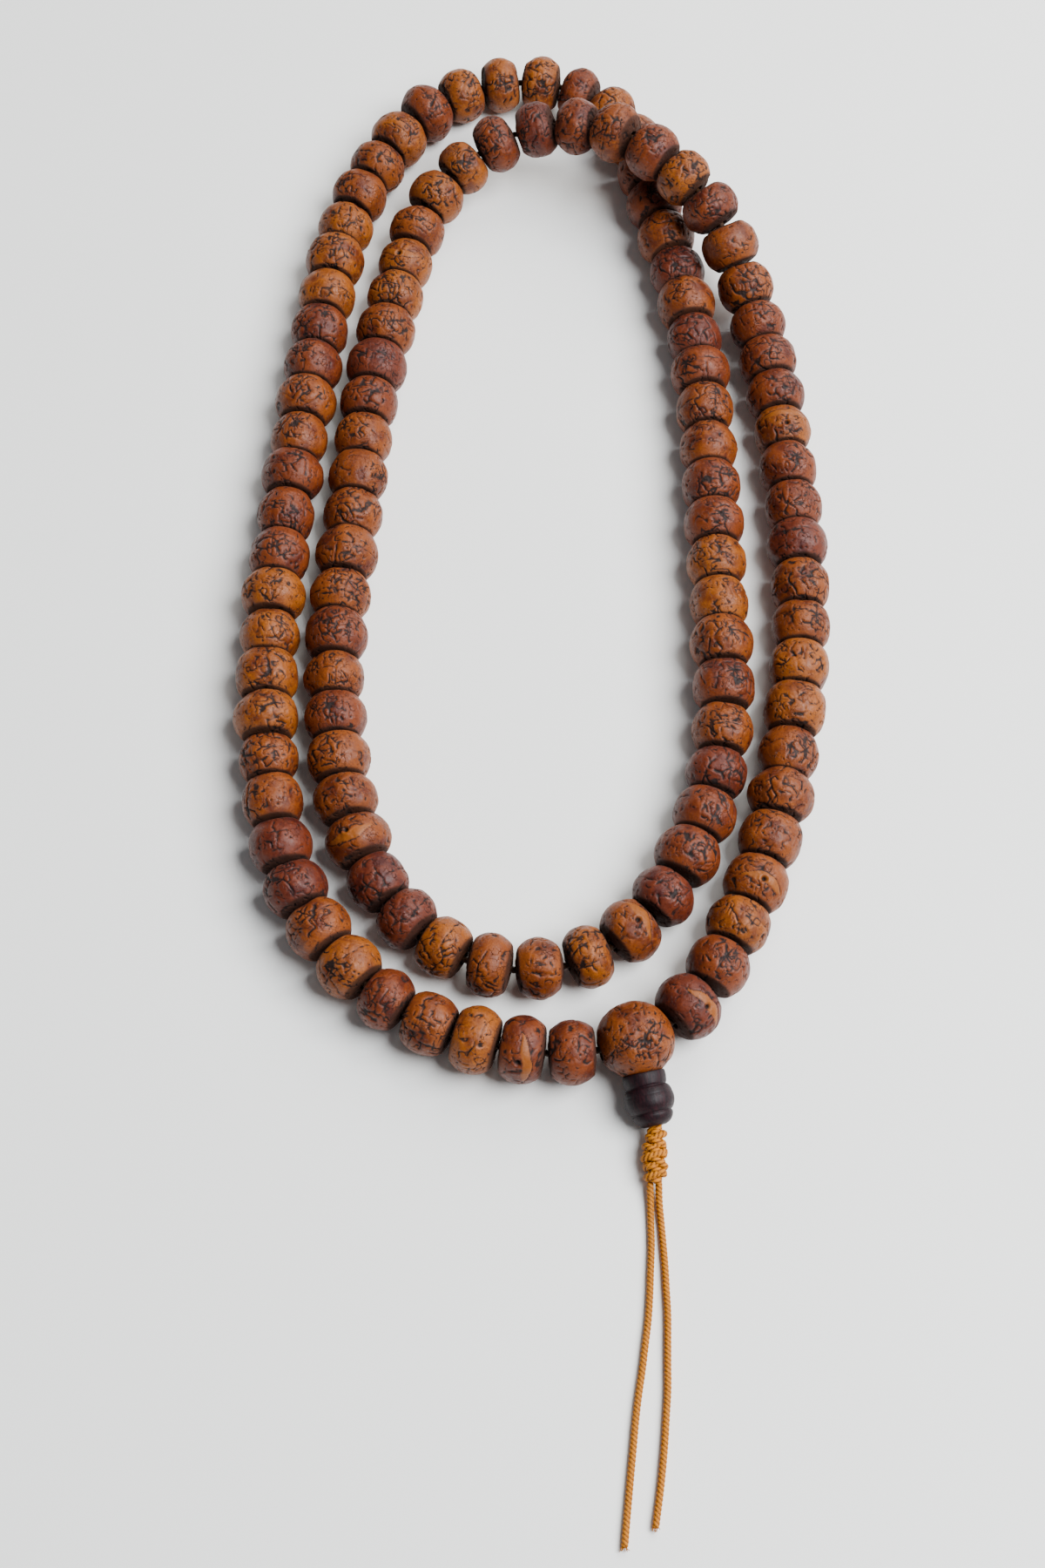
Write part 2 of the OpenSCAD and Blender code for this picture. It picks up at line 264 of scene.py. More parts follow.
class Shader:
    """A node material, built with short calls that each add a node and give its output."""

    def __init__(self, name):
        self.material = bpy.data.materials.new(name)
        self.material.use_nodes = True
        self.tree = self.material.node_tree
        self.surface = self.tree.nodes["Principled BSDF"]

    def put(self, socket, value):
        """Joins a socket to another node's output, or sets it to a constant."""
        if isinstance(value, bpy.types.NodeSocket):
            self.tree.links.new(value, socket)
        else:
            socket.default_value = value

    def set(self, **sockets):
        for name, value in sockets.items():
            self.put(self.surface.inputs[name.replace("_", " ")], value)

    def value(self, name):
        """A number stored on the mesh's points."""
        node = self.tree.nodes.new("ShaderNodeAttribute")
        node.attribute_name = name
        return node.outputs["Fac"]

    def vector(self, name):
        """A vector stored on the mesh's points."""
        node = self.tree.nodes.new("ShaderNodeAttribute")
        node.attribute_name = name
        return node.outputs["Vector"]

    def scaled(self, vector, by):
        node = self.tree.nodes.new("ShaderNodeMapping")
        self.put(node.inputs["Vector"], vector)
        node.inputs["Scale"].default_value = by
        return node.outputs["Vector"]

    def noise(self, vector, scale, detail=4.0, roughness=0.55, distortion=0.0):
        node = self.tree.nodes.new("ShaderNodeTexNoise")
        self.put(node.inputs["Vector"], vector)
        node.inputs["Scale"].default_value = scale
        node.inputs["Detail"].default_value = detail
        node.inputs["Roughness"].default_value = roughness
        node.inputs["Distortion"].default_value = distortion
        return node.outputs["Fac"]

    def noise_vector(self, vector, scale):
        node = self.tree.nodes.new("ShaderNodeTexNoise")
        self.put(node.inputs["Vector"], vector)
        node.inputs["Scale"].default_value = scale
        node.inputs["Detail"].default_value = 2.0
        return node.outputs["Color"]

    def cells(self, vector, scale):
        """Distance to the walls between random cells."""
        node = self.tree.nodes.new("ShaderNodeTexVoronoi")
        node.feature = "DISTANCE_TO_EDGE"
        self.put(node.inputs["Vector"], vector)
        node.inputs["Scale"].default_value = scale
        return node.outputs["Distance"]

    def dots(self, vector, scale):
        """Distance to scattered points."""
        node = self.tree.nodes.new("ShaderNodeTexVoronoi")
        self.put(node.inputs["Vector"], vector)
        node.inputs["Scale"].default_value = scale
        return node.outputs["Distance"]

    def shift(self, vector, by, amount):
        """A vector moved by a share of another one."""
        node = self.tree.nodes.new("ShaderNodeVectorMath")
        node.operation = "MULTIPLY_ADD"
        self.put(node.inputs[0], by)
        node.inputs[1].default_value = (amount, amount, amount)
        self.put(node.inputs[2], vector)
        return node.outputs["Vector"]

    def math(self, operation, a, b=0.0, clamp=False):
        node = self.tree.nodes.new("ShaderNodeMath")
        node.operation = operation
        node.use_clamp = clamp
        self.put(node.inputs[0], a)
        self.put(node.inputs[1], b)
        return node.outputs["Value"]

    def step(self, value, low, high, to_low=0.0, to_high=1.0):
        """A smooth rise from to_low at low to to_high at high."""
        node = self.tree.nodes.new("ShaderNodeMapRange")
        node.interpolation_type = "SMOOTHSTEP"
        self.put(node.inputs["Value"], value)
        node.inputs["From Min"].default_value = low
        node.inputs["From Max"].default_value = high
        node.inputs["To Min"].default_value = to_low
        node.inputs["To Max"].default_value = to_high
        return node.outputs["Result"]

    def mix(self, share, a, b):
        """Colour a, with a share of colour b over it."""
        node = self.tree.nodes.new("ShaderNodeMix")
        node.data_type = "RGBA"
        self.put(node.inputs["Factor"], share)
        self.put(node.inputs[6], a if isinstance(a, bpy.types.NodeSocket) else (*a, 1.0))
        self.put(node.inputs[7], b if isinstance(b, bpy.types.NodeSocket) else (*b, 1.0))
        return node.outputs[2]

    def bump(self, height, distance, strength=1.0, normal=None):
        node = self.tree.nodes.new("ShaderNodeBump")
        node.inputs["Strength"].default_value = strength
        node.inputs["Distance"].default_value = distance
        self.put(node.inputs["Height"], height)
        if normal is not None:
            self.put(node.inputs["Normal"], normal)
        return node.outputs["Normal"]


def bodhi_material(tone):
    """Oiled bodhi seed: mottled, worn light where it stands out, with painted shade in its cracks and pits and
    round its holes.
    """
    s = Shader("bodhi_" + tone)
    base = TONE_COLOURS[tone]
    at = s.vector("seed_mm")
    wavy = s.shift(at, s.noise_vector(at, 0.9), 0.9)
    cloud = s.noise(at, 0.28, 3.0, 0.6, 0.6)
    patch = s.noise(at, 0.75, 4.0, 0.6, 1.2)
    fleck = s.noise(at, 3.2, 5.0, 0.65)
    redder = tuple(c * k for c, k in zip(base, REDDER))
    lighter = tuple(c * k for c, k in zip(base, LIGHTER))
    colour = s.mix(s.step(cloud, 0.42, 0.62), base, redder)
    colour = s.mix(s.step(s.value("hollow"), 0.75, 0.15, 0.0, 0.75), colour, lighter)
    colour = s.mix(s.step(patch, 0.5, 0.72, 0.0, 0.8), colour, lighter)
    colour = s.mix(s.step(fleck, 0.35, 0.75, 0.0, 0.6), colour, redder)
    colour = s.mix(s.math("MULTIPLY", s.value("scar"), 0.9), colour, SCAR_COLOUR)
    crazed = s.cells(wavy, 1.15)
    thin = s.math("MULTIPLY", s.step(crazed, 0.045, 0.0), s.step(s.noise(at, 0.6, 2.0), 0.47, 0.6))
    thin = s.math("MULTIPLY", thin, s.math("SUBTRACT", 1.0, s.value("scar")), clamp=True)
    porous = s.step(s.noise(at, 0.9, 1.0), 0.52, 0.62)
    pores = s.math("MULTIPLY", s.step(s.dots(at, 1.9), 0.16, 0.07), porous)
    # painted shade: the fine crazing and the pores are darkened nearly to black
    colour = s.mix(s.math("MULTIPLY", thin, 0.7), colour, (0.016, 0.005, 0.003))
    colour = s.mix(s.math("MULTIPLY", pores, 0.8), colour, (0.012, 0.004, 0.003))
    # painted shade on the ends that face the next bead and round the holes
    colour = s.mix(s.step(s.value("end"), 0.15, 0.95, 0.0, 0.85), colour, END_SHADE_COLOUR)
    # painted shade: the cracks are darkened nearly to black
    colour = s.mix(s.step(s.value("crack"), 0.1, 0.7, 0.0, 0.97), colour, CRACK_SHADE_COLOUR)
    rough = s.step(s.noise(at, 1.4, 3.0), 0.3, 0.7, 0.32, 0.5)
    rough = s.math("ADD", rough, s.math("MULTIPLY", s.value("crack"), 0.35), clamp=True)
    rough = s.math("ADD", rough, s.math("MULTIPLY", s.value("end"), 0.4), clamp=True)
    grain = s.noise(wavy, 2.6, 6.0, 0.7)
    normal = s.bump(grain, 0.00012, 0.6)
    normal = s.bump(s.math("MULTIPLY", thin, -1.0), 0.00012, 0.8, normal)
    normal = s.bump(s.math("MULTIPLY", pores, -1.0), 0.00012, 0.7, normal)
    s.set(Base_Color=colour, Roughness=rough, Normal=normal, Specular_IOR_Level=0.27)
    return s.material


def stem_material():
    """Near-black aubergine wood with a faint red grain and a waxed polish."""
    s = Shader("stem_wood")
    at = s.vector("seed_mm")
    grain = s.noise(s.scaled(at, (0.5, 2.6, 2.6)), 1.0, 5.0, 0.6, 0.5)
    streak = s.noise(s.scaled(at, (0.35, 5.5, 5.5)), 1.0, 4.0, 0.7)
    colour = s.mix(s.step(grain, 0.4, 0.7), (0.0075, 0.0030, 0.0046), (0.023, 0.0055, 0.0080))
    colour = s.mix(s.step(streak, 0.5, 0.75, 0.0, 0.7), colour, (0.006, 0.0025, 0.004))
    rough = s.step(s.noise(at, 1.5, 3.0), 0.3, 0.7, 0.4, 0.54)
    s.set(Base_Color=colour, Roughness=rough, Normal=s.bump(streak, 0.00008, 0.5), Specular_IOR_Level=0.18)
    return s.material


def cord_material(name, light, dark):
    """Twisted nylon: silky fibres along each ply, and painted shade in the valleys between the plies."""
    s = Shader(name)
    at = s.vector("fibre")
    fibre = s.noise(at, 3.0, 4.0, 0.6)
    fine = s.noise(s.scaled(at, (5.0, 5.0, 1.2)), 2.0, 3.0, 0.6)
    colour = s.mix(s.step(fibre, 0.35, 0.7), light, tuple(0.62 * a + 0.38 * b for a, b in zip(light, dark)))
    # painted shade in the valleys between the plies
    colour = s.mix(s.step(s.value("valley"), 0.2, 0.8, 0.0, 0.95), colour, dark)
    rough = s.step(fine, 0.3, 0.7, 0.36, 0.52)
    normal = s.bump(fine, 0.00006, 0.7)
    s.set(Base_Color=colour, Roughness=rough, Normal=normal, Specular_IOR_Level=0.2)
    return s.material


# ---- Seed surfaces ----


def crack_walls(p, cell_mm, rng, seed):
    """Distance from each point to the nearest wall between random cells, and a number from 0 to 1 for it."""
    q = wander(p, 1.3, 0.42, seed)
    q = wander(q, 0.5, 0.12, seed + 7)
    area = 4 * math.pi * np.mean(np.sum(p * p, axis=1))
    centres = p[rng.choice(len(p), int(area / cell_mm**2), replace=False)]
    squares = np.sum(q * q, 1)[:, None] + np.sum(centres * centres, 1)[None, :] - 2 * q @ centres.T
    near = np.argpartition(squares, 1, axis=1)[:, :2]
    pair = np.take_along_axis(squares, near, 1)
    spread = np.linalg.norm(centres[near[:, 0]] - centres[near[:, 1]], axis=1)
    low, high = near.min(1), near.max(1)
    share = hashed(low, high, np.zeros_like(low), seed) * 0.5 + 0.5
    return np.abs(pair[:, 0] - pair[:, 1]) / (2 * spread), share


def star(p, n, middle, facing, rays, reach_mm, rng, seed):
    """How cracked each point is by cracks that run out from one place, each wavering and dying away."""
    side = unit(np.cross(facing, [1.0, 0.2, 0.1]))
    other = np.cross(facing, side)
    u, v = (p - middle) @ side, (p - middle) @ other
    r = np.hypot(u, v)
    turn = np.arctan2(v, u)
    cracked = np.zeros(len(p))
    for k in range(rays):
        way = 2 * math.pi * (k + rng.uniform(-0.3, 0.3)) / rays
        length = reach_mm * rng.uniform(0.55, 1.15)
        bend = 0.5 * noise(np.stack([r / 0.9, r * 0 + k, r * 0], 1), seed + k)
        off = turn - way - bend
        away = np.where(np.cos(off) > 0, r * np.abs(np.sin(off)), FAR_MM)
        broken = ramp(-0.6, -0.1, noise(np.stack([r / 0.45, r * 0 + 3.7 * k, r * 0], 1), seed + 40 + k))
        broken = np.maximum(broken, ramp(1.4, 0.9, r))
        fading = ramp(length, 0.4 * length, r)
        cracked = np.maximum(cracked, groove(away, 0.1 + 0.01 * reach_mm) * fading * broken)
    cracked = np.maximum(cracked, groove(r, 0.25 + 0.02 * reach_mm))
    return cracked * (n @ facing > 0.1)


# The most that a seed stands out past its turned shape on its side. Its drilled ends don't stand out.
STAND_OUT_MM = 0.16
CRACK_DEPTH_MM = 0.22

# For each kind of marks: how many of the cracks are open, how far from the marked places in mm, and the pits
OPENNESS = {"k": 1.0, "s": 0.85, "e": 0.6, "p": 0.72, "n": 0.4, "g": 0.4}
OPEN_REACH_MM = {"k": 6.0, "s": 4.6, "e": 4.2, "p": 4.6, "n": 3.4, "g": 7.0}
PITS = {"k": 36, "s": 36, "e": 36, "p": 70, "n": 22, "g": 90}
STAR_REACH_MM = 2.9
GURU_STAR = (8, 6.2)  # its number of cracks, and how far they run in mm


def seed_surface(p, n, half_mm, facing, mark, seed):
    """How deep the surface lies below its turned shape in mm, and how cracked, scarred and hollow it is.

    Points p are in mm from the seed's centre with X along its axis, n are their normals, and facing is the
    way to the viewer. The seed number sets where everything falls.
    """
    rng = np.random.default_rng(seed)
    main = int(np.argmax(p @ facing - 0.2 * np.abs(p[:, 0] - rng.uniform(-0.4, 0.4) * half_mm)))
    back = int(np.argmax(p @ -facing - 0.2 * np.abs(p[:, 0] - rng.uniform(-0.4, 0.4) * half_mm)))
    broad = noise(p / 3.2, seed)
    dents = noise(p / 1.5, seed + 1)
    depth = 0.04 + 0.22 * broad + 0.07 * dents + 0.02 * noise(p / 0.6, seed + 2)
    hollow = 0.5 + 0.35 * broad + 0.3 * dents
    cracked = np.zeros(len(p))
    scar = np.zeros(len(p))

    # a network of cracks, open near the marked places and closed away from them
    reach = OPEN_REACH_MM[mark]
    zone = np.zeros(len(p))
    for place in (main, back):
        away = np.linalg.norm(p - p[place], axis=1) + 1.1 * noise(p / 1.8, seed + 3)
        zone = np.maximum(zone, ramp(reach, 0.35 * reach, away))
    wall, share = crack_walls(p, rng.uniform(1.35, 1.8), rng, seed + 11)
    closed = 1.0 - OPENNESS[mark] * (0.15 + 0.8 * zone)
    opened = ramp(closed, closed + 0.15, share)
    opened *= ramp(-0.5, 0.15, noise(p / 0.8, seed + 5))
    width = 0.085 + 0.05 * (noise(p / 1.2, seed + 6) + 1)
    cracked = np.maximum(cracked, groove(wall, width) * opened)
    fine = np.abs(noise(wander(p, 0.9, 0.3, seed + 13) / 0.95, seed + 17))
    fine_open = ramp(0.35, -0.1, noise(p / 1.1, seed + 14) + 0.35 - 0.6 * zone)
    cracked = np.maximum(cracked, 0.75 * groove(fine, 0.13) * fine_open)
    swell = 0.05 * zone * ramp(0.0, 0.5, wall)

    # a line round the seed, dotted with pits
    around = np.arctan2(p[:, 1], p[:, 2])
    if mark in "ep" or rng.uniform() < 0.55:
        sway = rng.uniform(0.2, 0.9)
        line_at = rng.uniform(-0.25, 0.25) * half_mm + sway * np.sin(around + rng.uniform(0, 6.3))
        off = p[:, 0] - line_at + 0.35 * noise(p / 1.7, seed + 8) + 0.1 * noise(p / 0.6, seed + 9)
        drawn = ramp(-0.35, 0.15, noise(p / 2.4, seed + 10))
        dotted = 0.45 + 0.55 * ramp(-0.2, 0.4, noise(p / 0.45, seed + 12))
        cracked = np.maximum(cracked, groove(off, 0.12) * drawn * dotted)
        if mark == "e":
            turn = around - math.atan2(p[main][1], p[main][2])
            turn = np.abs((turn + math.pi) % (2 * math.pi) - math.pi)
            height = rng.uniform(1.2, 1.9) * np.clip(1 - (turn / rng.uniform(0.8, 1.15)) ** 2, 0, 1)
            scar = ramp(0.0, 0.12, off) * ramp(0.0, 0.15, height - off)
            rim = groove(off - height, 0.1) * (height > 0.1)
            cracked = np.maximum(cracked * (1 - scar), 0.7 * rim)

    # small pits
    places = p[rng.choice(len(p), PITS[mark], replace=False)]
    sizes = rng.uniform(0.07, 0.2, len(places))
    gaps = np.linalg.norm(p[:, None, :] - places[None, :, :], axis=2)
    pits = groove(gaps, sizes[None, :]).max(1)
    cracked = np.maximum(cracked, pits * (1 - 0.8 * scar))

    # the star or the eye hole at the marked place
    if mark in "sg":
        arms, reach = GURU_STAR if mark == "g" else (rng.integers(5, 8), STAR_REACH_MM)
        cracked = np.maximum(cracked, star(p, n, p[main], facing, arms, reach, rng, seed))
    if mark == "e":
        r = np.linalg.norm(p - p[main], axis=1)
        depth = depth + 0.4 * groove(r, 0.36) - 0.09 * groove(r - 0.75, 0.22)
        cracked = np.maximum(cracked, groove(r, 0.42))
    depth = depth - swell + CRACK_DEPTH_MM * cracked
    stand_out = STAND_OUT_MM * ramp(0.55, 0.2, np.abs(n[:, 0]))
    return np.maximum(depth, -stand_out), cracked, scar, hollow


# ---- Beads ----

BEAD_COLUMNS = 184
END_SHARE = 0.71  # radius of a bead's drilled end, as a share of its full radius
BARREL_POWER = 2.3  # how the side curves: more gives a flatter side with rounder edges
BORE_MM = 1.0  # radius of the drilled hole


def bead_outline(half, r, near_end, far_end):
    """A bead's outline in mm as (distance along its axis, radius), round from inside its bore."""
    rim = END_SHARE * r
    low = -half - near_end[0] + rim * near_end[1]
    high = half + far_end[0] - rim * far_end[1]
    middle, reach = (low + high) / 2, (high - low) / 2
    u = np.linspace(-0.97, 0.97, 15)
    side = [(middle + k * reach, r * (1 - (1 - END_SHARE) * abs(k) ** BARREL_POWER)) for k in u]
    near = [(BORE_MM, 0.35), (BORE_MM + 0.12, 0.0), (BORE_MM + 0.9, 0.0), (rim - 0.4, 0.0)]
    first = [(-half - near_end[0] + y * near_end[1] + inward, y) for y, inward in near]
    last = [(half + far_end[0] - y * far_end[1] - inward, y) for y, inward in reversed(near)]
    outside = spaced(softened(first + side + last, 2), 0.18)
    inside = np.stack([np.linspace(half - 1.2, 1.2 - half, 5), np.full(5, BORE_MM)], 1)
    return np.vstack([outside, inside])


def revolved(outline, columns):
    """Points and normals of a closed outline turned about X."""
    before, after = np.roll(outline, 1, 0), np.roll(outline, -1, 0)
    way = after - before
    flat = np.stack([-way[:, 1], way[:, 0]], 1) / np.linalg.norm(way, axis=1)[:, None]
    turn = 2 * math.pi * np.arange(columns) / columns
    around = np.stack([np.zeros(columns), np.sin(turn), np.cos(turn)], 1)
    along = np.array([1.0, 0.0, 0.0])
    points = outline[:, 0, None, None] * along + outline[:, 1, None, None] * around[None]
    normals = flat[:, 0, None, None] * along + flat[:, 1, None, None] * around[None]
    return points.reshape(-1, 3), normals.reshape(-1, 3)


def axes_of(axis):
    """Rows: along the axis, sideways, and the side that faces up."""
    x = unit(axis)
    y = unit(np.cross([0.0, 0.0, 1.0], x))
    return np.stack([x, y, np.cross(x, y)])


def add_bead(bead, materials):
    """One seed bead, in place of the CAD's turned one."""
    number = bead["number"]
    half, r = bead["length"] / MM / 2, bead["radius"] / MM
    outline = bead_outline(half, r, bead["near_end"], bead["far_end"])
    p, n = revolved(outline, BEAD_COLUMNS)
    axes = axes_of(bead["axis"])
    rng = np.random.default_rng(900 + number)
    facing = axes @ VIEWER + rng.normal(0, 0.3, 3) * [0, 1, 1]
    facing = unit(facing * [0.25, 1, 1])
    tone, mark = TONES[number - 1], MARKS[number - 1]
    depth, cracked, scar, hollow = seed_surface(p, n, half, facing, mark, 100 * number)
    from_axis = np.hypot(p[:, 1], p[:, 2])
    outer = ramp(BORE_MM + 0.1, BORE_MM + 0.8, from_axis)
    # where the painted shade goes: the drilled ends and round the bore, which are also made rougher
    end = ramp(0.45, 0.95, np.abs(n[:, 0])) + ramp(BORE_MM + 0.5, BORE_MM, from_axis)
    p = p - n * (depth * outer)[:, None]
    world = bead["centre"] + (p * MM) @ axes
    world[:, 2] = np.maximum(world[:, 2], 0.0)
    piece = add_mesh("seed_%03d" % number, world, grid_faces(len(outline), BEAD_COLUMNS, True))
    end = np.clip(end, 0, 1)
    add_values(piece, seed_mm=p + 37.0 * number, crack=cracked * outer, scar=scar, end=end, hollow=hollow)
    piece.data.materials.append(materials[tone])
    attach(piece, bead["body"])
    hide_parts(bead["node"])


GURU_POWER = 2.15  # 2 gives a sphere, and more gives flatter ends
GURU_BORE_MM = 1.15
GURU_COLUMNS = 220
SIDE_FACE_MM = 5.68  # from the guru bead's centre to the flats that its neighbours lie against
PENDANT_HOLE_DEPTH_MM = 2.2


def add_guru(centre, radius, ways, stem_way, material):
    """The guru bead: a rounder seed with a star, flats at its two side holes and the pendant's hole below."""
    r = radius / MM
    power = 2 / GURU_POWER
    turns = np.linspace(-1, 1, 29) * math.acos((GURU_BORE_MM / r) ** (1 / power))
    side = [(r * math.copysign(abs(math.sin(t)) ** power, t), r * math.cos(t) ** power) for t in turns]
    half = side[-1][0]
    rim = [(k * (half - 0.4), GURU_BORE_MM) for k in (-1, 1)]
    outside = spaced(softened(rim[:1] + side + rim[1:], 2), 0.16)
    inside = np.stack([np.linspace(half - 1.2, 1.2 - half, 6), np.full(6, GURU_BORE_MM)], 1)
    outline = np.vstack([outside, inside])
    p, n = revolved(outline, GURU_COLUMNS)
    axes = axes_of(ways[0] - ways[1])
    facing = unit(axes @ unit(VIEWER + [0.0, 0.05, 0]))
    depth, cracked, scar, hollow = seed_surface(p, n, half, facing, "g", 77)
    from_axis = np.hypot(p[:, 1], p[:, 2])
    outer = ramp(GURU_BORE_MM + 0.05, GURU_BORE_MM + 0.8, from_axis)
    down = axes @ stem_way
    from_hole = np.linalg.norm(p - np.outer(p @ down, down), axis=1) + FAR_MM * (p @ down < 0)

    # smooth where the stem bead sits, and inside the sphere as far out as the stem bead can rock
    calm = ramp(3.6, 2.6, from_hole)
    collar = ramp(4.9, 4.1, from_hole)
    cracked = cracked * outer * (1 - calm)
    depth = np.maximum(depth * (1 - calm), 0.04 - 0.2 * (1 - collar))
    p = p * (np.minimum(1.0, r / np.linalg.norm(p, axis=1)) ** collar)[:, None]
    p = p - n * (depth * outer)[:, None]
    for way in ways:
        beyond = np.maximum(p @ (axes @ way) - SIDE_FACE_MM, 0.0)
        p = p - beyond[:, None] * (axes @ way)
    hole = ramp(1.85, 1.6, from_hole)
    p = p - PENDANT_HOLE_DEPTH_MM * hole[:, None] * down
    world = centre + (p * MM) @ axes
    world[:, 2] = np.maximum(world[:, 2], 0.0)
    piece = add_mesh("guru_seed", world, grid_faces(len(outline), GURU_COLUMNS, True))
    # where the painted shade goes: round the bore and inside the pendant's hole
    end = np.clip(ramp(2.2, 1.3, from_axis) + hole, 0, 1)
    add_values(piece, seed_mm=p + 11.0, crack=cracked, scar=scar, end=end, hollow=hollow)
    piece.data.materials.append(material)
    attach(piece, "strand")
    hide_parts("guru_bead")


# ---- Stem bead ----

# Distance from the top and radius in mm, in parts from the guru bead's side to the knot's
STEM_CUP_MM = [(0.42, 1.7), (0.1, 2.5), (-0.2, 3.08)]
STEM_COLLAR_MM = [(-0.1, 3.2), (0.6, 3.26), (1.4, 3.16), (1.75, 3.08), (1.83, 2.94), (1.93, 2.94)]
STEM_BULGE_MM = [
    (2.05, 3.2), (2.5, 3.48), (3.05, 3.64), (3.12, 3.56), (3.2, 3.66), (3.9, 3.76), (4.6, 3.66),
    (5.0, 3.5), (5.07, 3.42), (5.14, 3.44), (5.6, 3.12), (5.72, 2.88), (5.82, 2.88),
]
STEM_FOOT_MM = [(5.98, 3.04), (6.4, 3.0), (6.9, 2.76), (7.35, 2.34), (7.66, 1.86), (7.8, 1.45)]
STEM_BORE_MM = [(7.3, 1.38), (4.0, 1.38), (0.9, 1.38)]
STEM_COLUMNS = 120


def add_stem(start, way, material):
    """The stem bead, with faint waves from the lathe and one nick in its bulge."""
    parts = STEM_CUP_MM + STEM_COLLAR_MM + STEM_BULGE_MM + STEM_FOOT_MM + STEM_BORE_MM
    outline = spaced(softened(parts + parts[:1], 2), 0.12)[:-1][::-1]
    p, n = revolved(outline, STEM_COLUMNS)
    outer = ramp(1.6, 2.4, np.hypot(p[:, 1], p[:, 2]))
    p = p - n * (0.03 * (1 + noise(p / 2.5, 5)) * outer)[:, None]
    nicked = p[int(np.argmax(p @ unit([0.2, -0.35, 0.9]) - 0.5 * p[:, 0]))]
    p = p - n * (0.05 * groove(np.linalg.norm(p - nicked, axis=1), 0.35))[:, None]
    world = start + (p * MM) @ axes_of(way)
    piece = add_mesh("stem_turned", world, grid_faces(len(outline), STEM_COLUMNS, True))
    add_values(piece, seed_mm=p)
    piece.data.materials.append(material)
    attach(piece, "stem")
    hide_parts("stem_bead")


# ---- Cords ----

CORD_MM = 1.1
KNOT_CORD_MM = 1.15
PENDANT_CORD_MM = 1.05
HAIR_MM = 0.13
PLIES = 3
PLY_PITCH_MM = 1.9  # one turn of the plies
PLY_DEPTH = 0.34  # how far the valleys between the plies go in, as a share of the radius


def carried_frames(line):
    """A direction across the line at each of its points, carried along without twisting."""
    ways = np.gradient(line, axis=0)
    ways /= np.linalg.norm(ways, axis=1)[:, None]
    side = unit(np.cross(ways[0], [0.3, 0.2, 0.93]))
    sides = []
    for way in ways:
        side = unit(side - (side @ way) * way)
        sides.append(side)
    sides = np.array(sides)
    return sides, np.cross(ways, sides)


def cord_surface(line_mm, diameter_mm, sides, phase):
    """Points, faces, caps, valleys and fibre directions of a twisted cord along a line of even steps."""
    across, other = carried_frames(line_mm)
    run = np.concatenate([[0], np.cumsum(np.linalg.norm(np.diff(line_mm, axis=0), axis=1))])
    turn = 2 * math.pi * np.arange(sides) / sides
    ply = turn[None, :] + 2 * math.pi * run[:, None] / PLY_PITCH_MM + phase
    valley = 1 - np.abs(np.cos(PLIES / 2 * ply))
    radius = diameter_mm / 2 * (1 - PLY_DEPTH * valley**1.3)
    from_end = np.minimum(run, run[-1] - run)
    radius = radius * (0.72 + 0.28 * ramp(0.0, 0.25, from_end))[:, None]
    points = line_mm[:, None, :] + radius[..., None] * (
        np.cos(turn)[None, :, None] * across[:, None, :] + np.sin(turn)[None, :, None] * other[:, None, :]
    )
    fibre = np.stack([2 * np.cos(ply), 2 * np.sin(ply), np.repeat(run[:, None], sides, 1) * 0.5], 2)
    last = (len(line_mm) - 1) * sides
    caps = [list(range(sides - 1, -1, -1)), list(range(last, last + sides))]
    faces = grid_faces(len(line_mm), sides, False)
    return points.reshape(-1, 3), faces, caps, valley.ravel(), fibre.reshape(-1, 3)


def add_cords(name, lines_mm, material, diameter_mm=CORD_MM, sides=20, origin=(0, 0, 0)):
    """One piece of one or more twisted cords, along lines in mm from an origin in metres."""
    points, faces, caps, valleys, fibres = [], [], [], [], []
    count = 0
    for k, line in enumerate(lines_mm):
        p, f, c, valley, fibre = cord_surface(line, diameter_mm, sides, 1.3 * k)
        points.append(p)
        faces.append(f + count)
        caps += [[i + count for i in cap] for cap in c]
        valleys.append(valley)
        fibres.append(fibre + 9.0 * k)
        count += len(p)
    piece = add_mesh(name, np.array(origin) + MM * np.vstack(points), np.vstack(faces), caps)
    add_values(piece, valley=np.concatenate(valleys), fibre=np.vstack(fibres))
    piece.data.materials.append(material)
    return piece


# From the guru bead's centre in X and Y, and from the floor in height
TAIL_LEFT = [
    (0.0019, -0.0204, 0.0015), (0.0019, -0.023, 0.0009), (0.0019, -0.026, 0.0006),
    (0.0019, -0.0295, 0.0006), (0.0017, -0.033, 0.0006), (0.0015, -0.0365, 0.0006),
    (0.0012, -0.04, 0.0006), (0.0007, -0.0435, 0.0006), (0.0002, -0.047, 0.0006),
    (-0.0004, -0.0505, 0.0006), (-0.0009, -0.054, 0.0006), (-0.0013, -0.0575, 0.0006),
    (-0.0017, -0.061, 0.0006), (-0.0021, -0.0645, 0.0006), (-0.0025, -0.068, 0.0006),
    (-0.0028, -0.071, 0.0006),
]
TAIL_RIGHT = [
    (0.0032, -0.0204, 0.0015), (0.0032, -0.023, 0.0009), (0.0034, -0.026, 0.0006),
    (0.0036, -0.029, 0.0006), (0.0038, -0.0325, 0.0006), (0.0039, -0.036, 0.0006),
    (0.004, -0.0395, 0.0006), (0.0039, -0.043, 0.0006), (0.0038, -0.0465, 0.0006),
    (0.0037, -0.05, 0.0006), (0.0034, -0.0535, 0.0006), (0.0031, -0.057, 0.0006),
    (0.0027, -0.0605, 0.0006), (0.0023, -0.0635, 0.0006), (0.0019, -0.066, 0.0006),
    (0.0015, -0.0685, 0.0006),
]
KNOT_END = (0.0025, -0.020, 0.0018)
HAIRS = 14  # fibres that stand out of each tail's cut end
HAIR_LIFT_MM = 0.12  # the least height of a fibre over the floor


